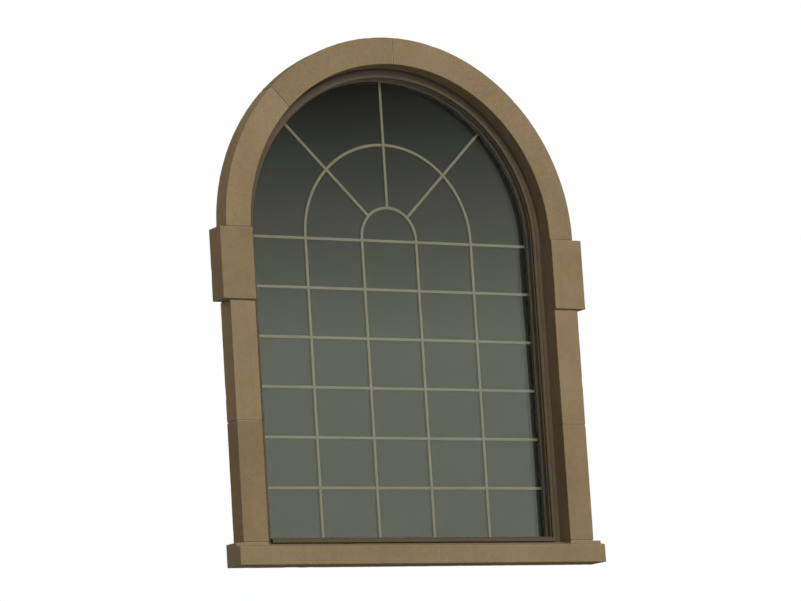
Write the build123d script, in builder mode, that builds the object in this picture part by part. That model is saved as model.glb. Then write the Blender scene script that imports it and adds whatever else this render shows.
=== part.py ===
from build123d import *
from math import cos, sin, radians
import os

os.makedirs("parts", exist_ok=True)

# A fixed round-headed window in its cast-stone surround, in millimetres.
# X runs across the window from its centre line, Z is up from the bed of the stone sill,
# and Y runs back from the face of the jamb stones.

# Stone surround
opening_width = 2000.0
stone_face_width = 160.0
stone_depth = 120.0
stone_arris = 4.0
impost_height = 420.0
impost_overhang = 48.0
impost_projection = 14.0
ring_stone_count = 4
mortar_joint = 6.0
mortar_rake = 4.0
dowel_radius = 6.0
dowel_length = 90.0

# Stone sill
sill_height = 130.0
sill_nose = 45.0
sill_wash_drop = 26.0
drip_radius = 5.0
drip_setback = 16.0

# Window unit, set back in the opening
reveal_depth = 84.0
sealant_width = 12.0
sealant_depth = 10.0
sealant_setback = 2.0
sealant_hollow = 2.0
bed_sealant_height = 6.0
rod_squeeze = 0.3
brickmould_width = 50.0
brickmould_thickness = 22.0
brickmould_bevel = 4.0
brickmould_flat = 26.0
quirk_width = 4.0
quirk_depth = 3.0
ovolo_shoulder = 1.5
ovolo_drop = 8.0
ovolo_fullness = 0.3
nosing_projection = 36.0
nosing_front_height = 20.0
frame_lip = 6.0
frame_thickness = 40.0
frame_depth = 116.0
fixed_stop_length = 31.0
rebate_depth = 18.0
sill_slope_drop = 4.0

# Glazing
bead_depth = 26.0
bead_flat = 3.0
outer_tape = 3.0
inner_tape = 2.0
tape_width = 9.0
pane_thickness = 5.0
air_space = 16.0
glass_edge_gap = 4.0
edge_seal_width = 5.0
spacer_height = 7.0
setting_block_length = 100.0
setting_block_place = 475.0
stop_round = 12.0

# Grille between the panes
bar_width = 16.0
bar_thickness = 8.0
inner_bar_place = 182.0
outer_bar_place = 556.0
row_count = 6
row_pitch = 289.0
top_bar_drop = 16.0
spoke_angles = [45.0, 90.0, 135.0]
pin_radius = 2.0
pin_length = 5.0

# Nailing fins and fixings
fin_setback = 39.0
fin_width = 35.0
fin_thickness = 1.5
fin_leg = 22.0
fin_hole_radius = 3.0
fin_hole_inset = 18.0
jamb_hole_count = 4
jamb_hole_pitch = 500.0
head_hole_angles = [22.5 * step for step in range(1, 8)]
sill_hole_count = 4
sill_hole_pitch = 500.0
screw_radius = 2.25
screw_head_radius = 4.5
corner_screw_length = 60.0
corner_screw_edge = 20.0
frame_dowel_radius = 4.0
frame_dowel_length = 60.0
stop_screw_radius = 1.5
stop_screw_head_radius = 3.0
stop_screw_length = 32.0
stop_screw_place = 7.0
jamb_stop_screws = 5
head_stop_screws = 9
sill_stop_screws = 5

# Places worked out from the sizes above
opening_radius = opening_width / 2
stone_outer = opening_radius + stone_face_width
stone_middle = opening_radius + stone_face_width / 2
impost_outer = stone_outer + impost_overhang
brickmould_outer = opening_radius - sealant_width
brickmould_inner = brickmould_outer - brickmould_width
frame_inner = brickmould_inner - frame_lip
frame_outer = frame_inner + frame_thickness
rebate_line = frame_inner + rebate_depth
glass_edge = rebate_line - glass_edge_gap
spacer_outer = glass_edge - edge_seal_width
spacer_inner = spacer_outer - spacer_height

frame_front = reveal_depth + brickmould_thickness
frame_back = frame_front + frame_depth
rebate_front = frame_front + fixed_stop_length
bead_back = rebate_front + bead_depth
outer_glass_face = bead_back + outer_tape
air_front = outer_glass_face + pane_thickness
air_back = air_front + air_space
inner_glass_face = air_back + pane_thickness
stop_front = inner_glass_face + inner_tape
bar_front = air_front + (air_space - bar_thickness) / 2
bar_middle = bar_front + bar_thickness / 2
fin_front = frame_front + fin_setback

seat_height = sill_height
sight_bottom = seat_height + frame_thickness
spring_height = sight_bottom + row_count * row_pitch + top_bar_drop
impost_bottom = spring_height - impost_height
jamb_middle = (seat_height + impost_bottom) / 2
ring_stone_angle = 180.0 / ring_stone_count


# Planes that the pieces are drawn on

springing = Plane.XY.offset(spring_height)
arch_axis = Axis((0, 0, spring_height), (0, -1, 0))

# On this plane a distance from the centre line becomes a distance below the glass,
# so one section serves the jambs, the head and the bottom rail.
bottom_rail = Plane(
    origin=(0, 0, sight_bottom + frame_inner), x_dir=(0, 0, -1), z_dir=(1, 0, 0)
)


def upright(depth, height=0.0):
    """A plane facing the front, with its origin on the centre line."""
    return Plane(origin=(0, depth, height), x_dir=(1, 0, 0), z_dir=(0, -1, 0))


def joint_plane(x, z, angle):
    """A plane across a line of stones: its x runs out from the opening."""
    turn = radians(angle)
    return Plane(
        origin=(x, stone_depth / 2, z),
        x_dir=(cos(turn), 0, sin(turn)),
        z_dir=(-sin(turn), 0, cos(turn)),
    )


def arch_plane(radius, depth, angle):
    """A plane on the arch at the given angle, facing out from its centre."""
    turn = radians(angle)
    return Plane(
        origin=(radius * cos(turn), depth, spring_height + radius * sin(turn)),
        x_dir=(0, 1, 0),
        z_dir=(cos(turn), 0, sin(turn)),
    )


def arched_outline(edge, mode=Mode.ADD):
    """The arched opening, drawn out to the given distance from its centre line."""
    foot = spring_height - sight_bottom + edge - frame_inner
    with BuildLine() as outline:
        Polyline((-edge, 0), (-edge, -foot), (edge, -foot), (edge, 0))
        ThreePointArc((edge, 0), (0, edge), (-edge, 0))
    make_face(outline.edges(), mode=mode)


def save(piece, name):
    piece.part.label = name
    export_step(piece.part, f"parts/{name}.step")


# Joints between the stones: bed joints up the jambs and radial joints round the arch

ring_joints = []
for step in range(ring_stone_count + 1):
    angle = step * ring_stone_angle
    turn = radians(angle)
    joint_x = stone_middle * cos(turn)
    joint_z = spring_height + stone_middle * sin(turn)
    ring_joints.append(joint_plane(joint_x, joint_z, angle))

jamb_joints = []
for height in (seat_height + mortar_joint / 2, jamb_middle, impost_bottom):
    jamb_joints.append(joint_plane(stone_middle, height, 0))
    jamb_joints.append(joint_plane(-stone_middle, height, 180))

stone_joints = ring_joints + jamb_joints

with BuildPart() as mortar_joints:
    with Locations(*stone_joints):
        Box(stone_face_width - 2 * mortar_rake, stone_depth - 2 * mortar_rake, mortar_joint)
        Cylinder(dowel_radius, mortar_joint, mode=Mode.SUBTRACT)
save(mortar_joints, "mortar_joints")

with BuildPart() as stone_dowels:
    with Locations(*stone_joints):
        Cylinder(dowel_radius, dowel_length)
save(stone_dowels, "stone_dowels")


def bore_for_dowels():
    """Cut the dowel holes that reach into the stone being made."""
    with Locations(*stone_joints):
        Cylinder(dowel_radius, dowel_length, mode=Mode.SUBTRACT)


# Stone sill: a wash that falls to the front, lugs under the jambs and a drip below

with BuildPart() as stone_sill:
    with BuildSketch(Plane.YZ.offset(-impost_outer)):
        with BuildLine():
            Polyline(
                (-sill_nose, 0),
                (stone_depth, 0),
                (stone_depth, sill_height),
                (reveal_depth, sill_height),
                (-sill_nose, sill_height - sill_wash_drop),
                close=True,
            )
        make_face()
    extrude(amount=2 * impost_outer)
    lug_width = impost_outer - opening_radius
    with BuildSketch(Plane.XY.offset(sill_height)):
        with Locations(
            (opening_radius + lug_width / 2, stone_depth / 2),
            (-opening_radius - lug_width / 2, stone_depth / 2),
        ):
            Rectangle(lug_width, stone_depth)
    extrude(amount=-sill_wash_drop)
    nose_edges = stone_sill.edges().filter_by(Axis.X).group_by(Axis.Y)[0]
    chamfer(nose_edges, stone_arris)
    with BuildSketch(Plane.YZ.offset(-impost_outer)):
        with Locations((-sill_nose + drip_setback, 0)):
            Circle(drip_radius)
    extrude(amount=2 * impost_outer, mode=Mode.SUBTRACT)
    bore_for_dowels()
save(stone_sill, "stone_sill")


# Jamb stones, two on each side, with a broken arris in front

with BuildSketch() as stone_section:
    with Locations((stone_middle, stone_depth / 2)):
        Rectangle(stone_face_width, stone_depth)
    chamfer(stone_section.vertices().group_by(Axis.Y)[0], stone_arris)

jamb_stone_ends = {
    "lower": (seat_height + mortar_joint, jamb_middle - mortar_joint / 2),
    "upper": (jamb_middle + mortar_joint / 2, impost_bottom - mortar_joint / 2),
}
for level, (foot, top) in jamb_stone_ends.items():
    with BuildPart() as jamb_stone_right:
        with BuildSketch(Plane.XY.offset(foot)):
            add(stone_section.sketch)
        extrude(amount=top - foot)
        bore_for_dowels()
    save(jamb_stone_right, f"jamb_stone_{level}_right")

    with BuildPart() as jamb_stone_left:
        mirror(jamb_stone_right.part, about=Plane.YZ)
    save(jamb_stone_left, f"jamb_stone_{level}_left")


# Impost blocks, which stand proud of the jambs and of the ring

with BuildPart() as impost_block_right:
    impost_width = impost_outer - opening_radius
    impost_depth = stone_depth + impost_projection
    block_height = impost_height - mortar_joint
    with Locations(
        (
            opening_radius + impost_width / 2,
            stone_depth - impost_depth / 2,
            spring_height - impost_height / 2,
        )
    ):
        Box(impost_width, impost_depth, block_height)
    chamfer(impost_block_right.faces().sort_by(Axis.Y)[0].edges(), stone_arris)
    bore_for_dowels()
save(impost_block_right, "impost_block_right")

with BuildPart() as impost_block_left:
    mirror(impost_block_right.part, about=Plane.YZ)
save(impost_block_left, "impost_block_left")


# Ring stones, turned about the centre of the arch and trimmed for their joints

for number in range(ring_stone_count):
    with BuildPart() as ring_stone:
        with BuildSketch(springing):
            add(stone_section.sketch)
        revolve(axis=arch_axis, revolution_arc=180.0)
        split(bisect_by=ring_joints[number].offset(mortar_joint / 2), keep=Keep.TOP)
        split(bisect_by=ring_joints[number + 1].offset(-mortar_joint / 2), keep=Keep.BOTTOM)
        bore_for_dowels()
    save(ring_stone, f"ring_stone_{number + 1}")


# Exterior casing: a moulded brickmould round the jambs and head, a nosing at the foot

with BuildSketch() as brickmould_section:
    with BuildLine():
        flat_end = brickmould_outer - brickmould_bevel - brickmould_flat
        ovolo_start = flat_end - quirk_width
        ovolo_width = ovolo_start - brickmould_inner
        ovolo_middle = (
            brickmould_inner + ovolo_fullness * ovolo_width,
            reveal_depth + ovolo_shoulder + ovolo_fullness * (ovolo_drop - ovolo_shoulder),
        )
        Polyline(
            (ovolo_start, reveal_depth + ovolo_shoulder),
            (ovolo_start, reveal_depth + quirk_depth),
            (flat_end, reveal_depth + quirk_depth),
            (flat_end, reveal_depth),
            (brickmould_outer - brickmould_bevel, reveal_depth),
            (brickmould_outer, reveal_depth + brickmould_bevel),
            (brickmould_outer, frame_front),
            (brickmould_inner, frame_front),
            (brickmould_inner, reveal_depth + ovolo_drop),
        )
        ThreePointArc(
            (brickmould_inner, reveal_depth + ovolo_drop),
            ovolo_middle,
            (ovolo_start, reveal_depth + ovolo_shoulder),
        )
    make_face()

with BuildPart() as brickmould_right:
    with BuildSketch(springing):
        add(brickmould_section.sketch)
    extrude(amount=-(spring_height - seat_height - bed_sealant_height))
save(brickmould_right, "brickmould_right")

with BuildPart() as brickmould_left:
    mirror(brickmould_right.part, about=Plane.YZ)
save(brickmould_left, "brickmould_left")

with BuildPart() as brickmould_head:
    with BuildSketch(springing):
        add(brickmould_section.sketch)
    revolve(axis=arch_axis, revolution_arc=180.0)
save(brickmould_head, "brickmould_head")

with BuildPart() as sill_nosing:
    with BuildSketch(Plane.YZ.offset(-brickmould_inner)):
        nosing_front = frame_front - nosing_projection
        nosing_foot = seat_height + bed_sealant_height
        with BuildLine():
            Polyline(
                (frame_front, nosing_foot),
                (nosing_front, nosing_foot),
                (nosing_front, nosing_foot + nosing_front_height),
                (frame_front, sight_bottom - frame_lip),
                close=True,
            )
        make_face()
    extrude(amount=2 * brickmould_inner)
save(sill_nosing, "sill_nosing")


# Sealant between the casing and the stone, with a foam rod behind it

sealant_front = reveal_depth + sealant_setback
sealant_back = sealant_front + sealant_depth

with BuildSketch() as sealant_section:
    with BuildLine():
        Polyline(
            (brickmould_outer, sealant_front),
            (brickmould_outer, sealant_back),
            (opening_radius, sealant_back),
            (opening_radius, sealant_front),
        )
        ThreePointArc(
            (opening_radius, sealant_front),
            (brickmould_outer + sealant_width / 2, sealant_front + sealant_hollow),
            (brickmould_outer, sealant_front),
        )
    make_face()

with BuildPart() as perimeter_sealant:
    with BuildSketch(springing):
        add(sealant_section.sketch)
    revolve(axis=arch_axis, revolution_arc=180.0)
    with BuildSketch(springing):
        add(sealant_section.sketch)
        mirror(about=Plane.YZ)
    extrude(amount=-(spring_height - seat_height))
    with Locations(
        (0, sealant_front + sealant_depth / 2, seat_height + bed_sealant_height / 2)
    ):
        Box(2 * brickmould_outer, sealant_depth, bed_sealant_height)
save(perimeter_sealant, "perimeter_sealant")

with BuildPart() as backer_rod:
    rod_radius = sealant_width / 2 - rod_squeeze
    rod_place = (brickmould_outer + sealant_width / 2, sealant_back + sealant_width / 2)
    with BuildSketch(springing):
        with Locations(rod_place):
            Circle(rod_radius)
    revolve(axis=arch_axis, revolution_arc=180.0)
    with BuildSketch(springing):
        with Locations(rod_place):
            Circle(rod_radius)
        mirror(about=Plane.YZ)
    extrude(amount=-(spring_height - seat_height - bed_sealant_height))
save(backer_rod, "backer_rod")


# Places of the frame's fixings

screw_depths = (rebate_front + corner_screw_edge, frame_back - corner_screw_edge)
corner_screw_height = seat_height + (frame_thickness - rebate_depth) / 2
dowel_place = (rebate_line + frame_outer) / 2
stop_screw_depth = stop_front + stop_screw_place
upright_length = spring_height - sight_bottom

corner_screw_planes = []
frame_dowel_places = []
for side in (1, -1):
    for depth in screw_depths:
        corner_screw_planes.append(
            Plane(origin=(side * frame_outer, depth, corner_screw_height), z_dir=(-side, 0, 0))
        )
        frame_dowel_places.append((side * dowel_place, depth, spring_height))

stop_screw_planes = []
for number in range(jamb_stop_screws):
    height = sight_bottom + (number + 0.5) * upright_length / jamb_stop_screws
    for side in (1, -1):
        place = (side * frame_inner, stop_screw_depth, height)
        stop_screw_planes.append(Plane(origin=place, z_dir=(side, 0, 0)))
for number in range(head_stop_screws):
    angle = (number + 0.5) * 180.0 / head_stop_screws
    stop_screw_planes.append(arch_plane(frame_inner, stop_screw_depth, angle))
for number in range(sill_stop_screws):
    place_x = frame_inner * (2 * (number + 0.5) / sill_stop_screws - 1)
    stop_screw_planes.append(
        Plane(origin=(place_x, stop_screw_depth, sight_bottom), z_dir=(0, 0, -1))
    )


def countersunk_screws(planes, radius, head_radius, length, mode=Mode.ADD):
    """Screws with their flat heads on the given planes, or the holes for them."""
    with Locations(*planes):
        seat = (Align.CENTER, Align.CENTER, Align.MIN)
        Cylinder(radius, length, align=seat, mode=mode)
        Cone(head_radius, radius, head_radius - radius, align=seat, mode=mode)


def corner_screws(mode=Mode.ADD):
    countersunk_screws(
        corner_screw_planes, screw_radius, screw_head_radius, corner_screw_length, mode
    )


def stop_screws(mode=Mode.ADD):
    countersunk_screws(
        stop_screw_planes, stop_screw_radius, stop_screw_head_radius, stop_screw_length, mode
    )


def frame_dowels(mode=Mode.ADD):
    with Locations(*frame_dowel_places):
        Cylinder(frame_dowel_radius, frame_dowel_length, mode=mode)


def bore_frame():
    corner_screws(Mode.SUBTRACT)
    stop_screws(Mode.SUBTRACT)
    frame_dowels(Mode.SUBTRACT)


# Frame: jambs and arched head of one section, with a rebate that takes the glass

with BuildSketch() as frame_section:
    with BuildLine():
        Polyline(
            (frame_inner, frame_front),
            (frame_outer, frame_front),
            (frame_outer, frame_back),
            (rebate_line, frame_back),
            (rebate_line, rebate_front),
            (frame_inner, rebate_front),
            close=True,
        )
    make_face()

with BuildPart() as frame_jamb_right:
    with BuildSketch(springing):
        add(frame_section.sketch)
    extrude(amount=-(spring_height - seat_height))
    bore_frame()
save(frame_jamb_right, "frame_jamb_right")

with BuildPart() as frame_jamb_left:
    mirror(frame_jamb_right.part, about=Plane.YZ)
save(frame_jamb_left, "frame_jamb_left")

with BuildPart() as frame_head:
    with BuildSketch(springing):
        add(frame_section.sketch)
    revolve(axis=arch_axis, revolution_arc=180.0)
    bore_frame()
save(frame_head, "frame_head")

with BuildPart() as frame_sill:
    rebate_floor = sight_bottom - rebate_depth
    with BuildSketch(Plane.YZ.offset(-frame_inner)):
        with BuildLine():
            Polyline(
                (frame_front, seat_height),
                (frame_back, seat_height),
                (frame_back, rebate_floor),
                (rebate_front, rebate_floor),
                (rebate_front, sight_bottom),
                (frame_front, sight_bottom - sill_slope_drop),
                close=True,
            )
        make_face()
    extrude(amount=2 * frame_inner)
    with BuildSketch(Plane.YZ.offset(-rebate_line)):
        with Locations(((rebate_front + frame_back) / 2, (seat_height + rebate_floor) / 2)):
            Rectangle(frame_back - rebate_front, rebate_floor - seat_height)
    extrude(amount=2 * rebate_line)
    bore_frame()
save(frame_sill, "frame_sill")

with BuildPart() as frame_corner_screws:
    corner_screws()
save(frame_corner_screws, "frame_corner_screws")

with BuildPart() as frame_head_dowels:
    frame_dowels()
save(frame_head_dowels, "frame_head_dowels")


# Glazing beads outside and stops inside, mitred where they meet at the foot

mitre_right = Plane(origin=(frame_inner, 0, sight_bottom), z_dir=(1, 0, 1))
mitre_left = Plane(origin=(-frame_inner, 0, sight_bottom), z_dir=(-1, 0, 1))


def glazing_members(section, name):
    """The two uprights, the arched head and the foot of one glazing section."""
    with BuildPart() as right:
        with BuildSketch(springing):
            add(section.sketch)
        extrude(amount=-(upright_length + rebate_depth))
        split(bisect_by=mitre_right, keep=Keep.TOP)
        stop_screws(Mode.SUBTRACT)
    save(right, f"{name}_right")

    with BuildPart() as left:
        mirror(right.part, about=Plane.YZ)
    save(left, f"{name}_left")

    with BuildPart() as head:
        with BuildSketch(springing):
            add(section.sketch)
        revolve(axis=arch_axis, revolution_arc=180.0)
        stop_screws(Mode.SUBTRACT)
    save(head, f"{name}_head")

    with BuildPart() as foot:
        with BuildSketch(bottom_rail.offset(-rebate_line)):
            add(section.sketch)
        extrude(amount=2 * rebate_line)
        split(bisect_by=mitre_right, keep=Keep.BOTTOM)
        split(bisect_by=mitre_left, keep=Keep.BOTTOM)
        stop_screws(Mode.SUBTRACT)
    save(foot, f"{name}_foot")


with BuildSketch() as bead_section:
    with BuildLine():
        Polyline(
            (rebate_line, rebate_front),
            (frame_inner + frame_lip, rebate_front),
            (frame_inner + frame_lip, rebate_front + bead_flat),
            (frame_inner, bead_back),
            (rebate_line, bead_back),
            close=True,
        )
    make_face()
glazing_members(bead_section, "glazing_bead")

with BuildSketch() as stop_section:
    with BuildLine():
        round_start = frame_back - stop_round
        round_end = frame_inner + stop_round
        Polyline(
            (frame_inner, round_start),
            (frame_inner, stop_front),
            (rebate_line, stop_front),
            (rebate_line, frame_back),
            (round_end, frame_back),
        )
        RadiusArc((round_end, frame_back), (frame_inner, round_start), stop_round)
    make_face()
glazing_members(stop_section, "interior_stop")

with BuildPart() as interior_stop_screws:
    stop_screws()
save(interior_stop_screws, "interior_stop_screws")


# Places of the grille bars and of the pins that hold their ends in the spacer

row_heights = [
    spring_height - top_bar_drop - row * row_pitch for row in range(row_count)
]
upright_places = [-outer_bar_place, -inner_bar_place, inner_bar_place, outer_bar_place]
spacer_floor = sight_bottom + frame_inner - spacer_inner

pin_planes = []
for height in row_heights:
    for side in (1, -1):
        place = (side * spacer_inner, bar_middle, height)
        pin_planes.append(Plane(origin=place, z_dir=(side, 0, 0)))
for place_x in upright_places:
    pin_planes.append(Plane(origin=(place_x, bar_middle, spacer_floor), z_dir=(0, 0, -1)))
for angle in spoke_angles:
    pin_planes.append(arch_plane(spacer_inner, bar_middle, angle))


def grille_pins(mode=Mode.ADD):
    with Locations(*pin_planes):
        Cylinder(pin_radius, 2 * pin_length, mode=mode)


# Sealed glazing: two panes held apart by a spacer, on setting blocks, between tapes

with BuildPart() as outer_pane:
    with BuildSketch(upright(outer_glass_face, spring_height)):
        arched_outline(glass_edge)
    extrude(amount=-pane_thickness)
save(outer_pane, "outer_pane")

with BuildPart() as inner_pane:
    with BuildSketch(upright(air_back, spring_height)):
        arched_outline(glass_edge)
    extrude(amount=-pane_thickness)
save(inner_pane, "inner_pane")

with BuildPart() as glass_spacer:
    with BuildSketch(upright(air_front, spring_height)):
        arched_outline(spacer_outer)
        arched_outline(spacer_inner, mode=Mode.SUBTRACT)
    extrude(amount=-air_space)
    grille_pins(Mode.SUBTRACT)
save(glass_spacer, "glass_spacer")

with BuildPart() as glass_edge_seal:
    with BuildSketch(upright(air_front, spring_height)):
        arched_outline(glass_edge)
        arched_outline(spacer_outer, mode=Mode.SUBTRACT)
    extrude(amount=-air_space)
save(glass_edge_seal, "glass_edge_seal")

with BuildPart() as glazing_tape:
    for tape_front, thickness in ((bead_back, outer_tape), (inner_glass_face, inner_tape)):
        with BuildSketch(upright(tape_front, spring_height)):
            arched_outline(glass_edge)
            arched_outline(glass_edge - tape_width, mode=Mode.SUBTRACT)
        extrude(amount=-thickness)
save(glazing_tape, "glazing_tape")

with BuildPart() as setting_blocks:
    glazing_thickness = inner_glass_face - outer_glass_face
    block_place = (
        setting_block_place,
        outer_glass_face + glazing_thickness / 2,
        rebate_floor + glass_edge_gap / 2,
    )
    with Locations(block_place):
        Box(setting_block_length, glazing_thickness, glass_edge_gap)
    mirror(about=Plane.YZ)
save(setting_blocks, "setting_blocks")


# Grille between the panes: flat bars, halved where they cross

half_bar = bar_thickness / 2

for number, height in enumerate(row_heights, start=1):
    with BuildPart() as level_bar:
        with Locations((0, bar_middle, height)):
            Box(2 * spacer_inner, bar_thickness, bar_width)
        with Locations(*[(x, bar_middle + half_bar / 2, height) for x in upright_places]):
            Box(bar_width, half_bar, bar_width, mode=Mode.SUBTRACT)
        grille_pins(Mode.SUBTRACT)
    save(level_bar, f"grille_level_bar_{number}")

for number, place_x in enumerate(upright_places, start=1):
    with BuildPart() as upright_bar:
        with Locations((place_x, bar_middle, (spacer_floor + spring_height) / 2)):
            Box(bar_width, bar_thickness, spring_height - spacer_floor)
        with Locations(*[(place_x, bar_middle - half_bar / 2, z) for z in row_heights]):
            Box(bar_width, half_bar, bar_width, mode=Mode.SUBTRACT)
        grille_pins(Mode.SUBTRACT)
    save(upright_bar, f"grille_upright_bar_{number}")


def half_ring(radius):
    """Half of a flat ring, one bar wide, above the springing."""
    inner = radius - bar_width / 2
    outer = radius + bar_width / 2
    with BuildLine() as outline:
        ThreePointArc((-inner, 0), (0, inner), (inner, 0))
        Line((inner, 0), (outer, 0))
        ThreePointArc((outer, 0), (0, outer), (-outer, 0))
        Line((-outer, 0), (-inner, 0))
    make_face(outline.edges())


def spoke_strip(angle):
    """A straight strip from the centre of the arch out past the spacer."""
    turn = radians(angle)
    reach = spacer_outer / 2
    with Locations(Location((reach * cos(turn), reach * sin(turn)), angle)):
        Rectangle(spacer_outer, bar_width)


arc_radii = {"inner": inner_bar_place, "outer": outer_bar_place}
for name, radius in arc_radii.items():
    with BuildPart() as arc_bar:
        with BuildSketch(upright(bar_front, spring_height)):
            half_ring(radius)
        extrude(amount=-bar_thickness)
        if radius == outer_bar_place:
            with BuildSketch(upright(bar_front, spring_height)):
                for angle in spoke_angles:
                    spoke_strip(angle)
            extrude(amount=-half_bar, mode=Mode.SUBTRACT)
    save(arc_bar, f"grille_arc_bar_{name}")

for number, angle in enumerate(spoke_angles, start=1):
    with BuildPart() as spoke_bar:
        with BuildSketch(upright(bar_front, spring_height)):
            spoke_strip(angle)
            Circle(spacer_inner, mode=Mode.INTERSECT)
            Circle(inner_bar_place + bar_width / 2, mode=Mode.SUBTRACT)
        extrude(amount=-bar_thickness)
        with BuildSketch(upright(bar_middle, spring_height)):
            half_ring(outer_bar_place)
        extrude(amount=-half_bar, mode=Mode.SUBTRACT)
        grille_pins(Mode.SUBTRACT)
    save(spoke_bar, f"grille_spoke_bar_{number}")

with BuildPart() as grille_end_pins:
    grille_pins()
save(grille_end_pins, "grille_end_pins")


# Nailing fins: thin angles round the frame, punched for the installer's fixings

def along_line(count, pitch):
    """Places along a line, evenly spaced about its middle."""
    return [(number - (count - 1) / 2) * pitch for number in range(count)]


fin_hole_line = frame_outer + fin_hole_inset
jamb_fin_middle = (seat_height + spring_height) / 2

with BuildSketch() as fin_section:
    with BuildLine():
        Polyline(
            (frame_outer, fin_front),
            (frame_outer + fin_width, fin_front),
            (frame_outer + fin_width, fin_front + fin_thickness),
            (frame_outer + fin_thickness, fin_front + fin_thickness),
            (frame_outer + fin_thickness, fin_front + fin_leg),
            (frame_outer, fin_front + fin_leg),
            close=True,
        )
    make_face()


def punch_fin(places):
    """Punch round holes at the given places, seen from the front."""
    with BuildSketch(upright(fin_front)) as holes:
        with Locations(*places):
            Circle(fin_hole_radius)
    extrude(holes.sketch, amount=-fin_thickness, mode=Mode.SUBTRACT)


with BuildPart() as nailing_fin_right:
    with BuildSketch(springing):
        add(fin_section.sketch)
    extrude(amount=-(spring_height - seat_height))
    rises = along_line(jamb_hole_count, jamb_hole_pitch)
    punch_fin([(fin_hole_line, jamb_fin_middle + rise) for rise in rises])
save(nailing_fin_right, "nailing_fin_right")

with BuildPart() as nailing_fin_left:
    mirror(nailing_fin_right.part, about=Plane.YZ)
save(nailing_fin_left, "nailing_fin_left")

with BuildPart() as nailing_fin_head:
    with BuildSketch(springing):
        add(fin_section.sketch)
    revolve(axis=arch_axis, revolution_arc=180.0)
    head_holes = []
    for angle in head_hole_angles:
        turn = radians(angle)
        rise = spring_height + fin_hole_line * sin(turn)
        head_holes.append((fin_hole_line * cos(turn), rise))
    punch_fin(head_holes)
save(nailing_fin_head, "nailing_fin_head")

with BuildPart() as nailing_fin_foot:
    with BuildSketch(bottom_rail.offset(-frame_outer)):
        add(fin_section.sketch)
    extrude(amount=2 * frame_outer)
    runs = along_line(sill_hole_count, sill_hole_pitch)
    punch_fin([(run, seat_height - fin_hole_inset) for run in runs])
save(nailing_fin_foot, "nailing_fin_foot")
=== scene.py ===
# %% [markdown]
# # A round-headed window in its cast-stone surround
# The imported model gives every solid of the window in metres, in one frame: X across the window,
# Y from front to back, Z up from the bed of the stone sill. It could be drawn again from nothing,
# but loading it keeps each finished piece exactly where the solid is.

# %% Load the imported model
import bmesh
import bpy
import math
from mathutils import Matrix, Vector, noise


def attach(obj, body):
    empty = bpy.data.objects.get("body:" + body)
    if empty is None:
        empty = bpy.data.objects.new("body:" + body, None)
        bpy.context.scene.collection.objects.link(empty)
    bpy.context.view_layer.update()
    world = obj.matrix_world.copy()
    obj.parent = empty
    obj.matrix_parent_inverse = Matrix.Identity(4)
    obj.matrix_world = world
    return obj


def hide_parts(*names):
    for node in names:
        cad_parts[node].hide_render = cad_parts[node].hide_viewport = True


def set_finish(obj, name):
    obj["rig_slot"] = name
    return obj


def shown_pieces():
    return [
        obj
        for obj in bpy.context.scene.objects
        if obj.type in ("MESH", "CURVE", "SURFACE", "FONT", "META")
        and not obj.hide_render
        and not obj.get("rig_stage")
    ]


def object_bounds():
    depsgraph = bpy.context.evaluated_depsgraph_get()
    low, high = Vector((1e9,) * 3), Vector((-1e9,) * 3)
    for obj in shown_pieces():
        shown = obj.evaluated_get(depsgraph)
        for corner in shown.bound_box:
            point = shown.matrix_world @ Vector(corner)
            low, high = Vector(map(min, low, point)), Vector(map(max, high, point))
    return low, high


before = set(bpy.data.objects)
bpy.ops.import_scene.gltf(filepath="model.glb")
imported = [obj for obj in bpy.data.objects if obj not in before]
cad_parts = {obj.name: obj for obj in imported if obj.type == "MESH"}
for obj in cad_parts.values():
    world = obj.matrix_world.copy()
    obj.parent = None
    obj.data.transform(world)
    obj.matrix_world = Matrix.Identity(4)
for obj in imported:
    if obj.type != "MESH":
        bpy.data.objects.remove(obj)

cad_low, cad_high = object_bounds()
print("solids:", len(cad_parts), "box:", tuple(cad_low), tuple(cad_high))

# %% [markdown]
# The lengths that several pieces share come first. The arch is a half circle about one centre, so
# a moulding is told by its section: how far each corner is from the centre line, and how far back
# it lies. The same section serves both legs, the arch and the foot.

# %% Shared lengths, in metres
MM = 0.001
SPRINGING = 1.920
FOOT_TURN = 1.102
SIGHT = 0.932
SIGHT_BOTTOM = 0.170
OPENING = 1.000
STONE_OUTER = 1.160
IMPOST_OUTER = 1.208
STONE_BACK = 0.120
SEAT = 0.130
MEMBERS = ("right", "left", "head")
ARC_STEPS = 96
MERGE = 1e-6
ARCH_CENTRE = Vector((0.0, 0.0, SPRINGING))
ACROSS = Vector((1.0, 0.0, 0.0))
INWARD = Vector((0.0, 1.0, 0.0))
UP = Vector((0.0, 0.0, 1.0))
print("arch centre:", tuple(ARCH_CENTRE))

# %% [markdown]
# The camera stands low and to the left, a long way off, with a long lens. It could be aimed with
# a Track To constraint, but a plain rotation stays put when other views move the camera. The
# picture leans a little, so the camera rolls.

# %% Camera
CAMERA_PLACE = Vector((-10.844, -18.140, -1.902))
CAMERA_ROLL = math.radians(3.61)
LENS = 167.0
FAR_CLIP = 500.0


def show(name, data):
    """A new object in the scene for some data."""
    made = bpy.data.objects.new(name, data)
    bpy.context.scene.collection.objects.link(made)
    return made


camera_data = bpy.data.cameras.new("main_camera")
camera_data.lens = LENS
camera_data.clip_end = FAR_CLIP
camera = show("main_camera", camera_data)
aim = (cad_low + cad_high) / 2 - CAMERA_PLACE
camera.rotation_mode = "QUATERNION"
camera.location = CAMERA_PLACE
level_turn = aim.to_track_quat("-Z", "Y")
camera.rotation_quaternion = level_turn @ Matrix.Rotation(-CAMERA_ROLL, 3, "Z").to_quaternion()
bpy.context.scene.camera = camera
print("camera distance:", round(aim.length, 2))

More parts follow.
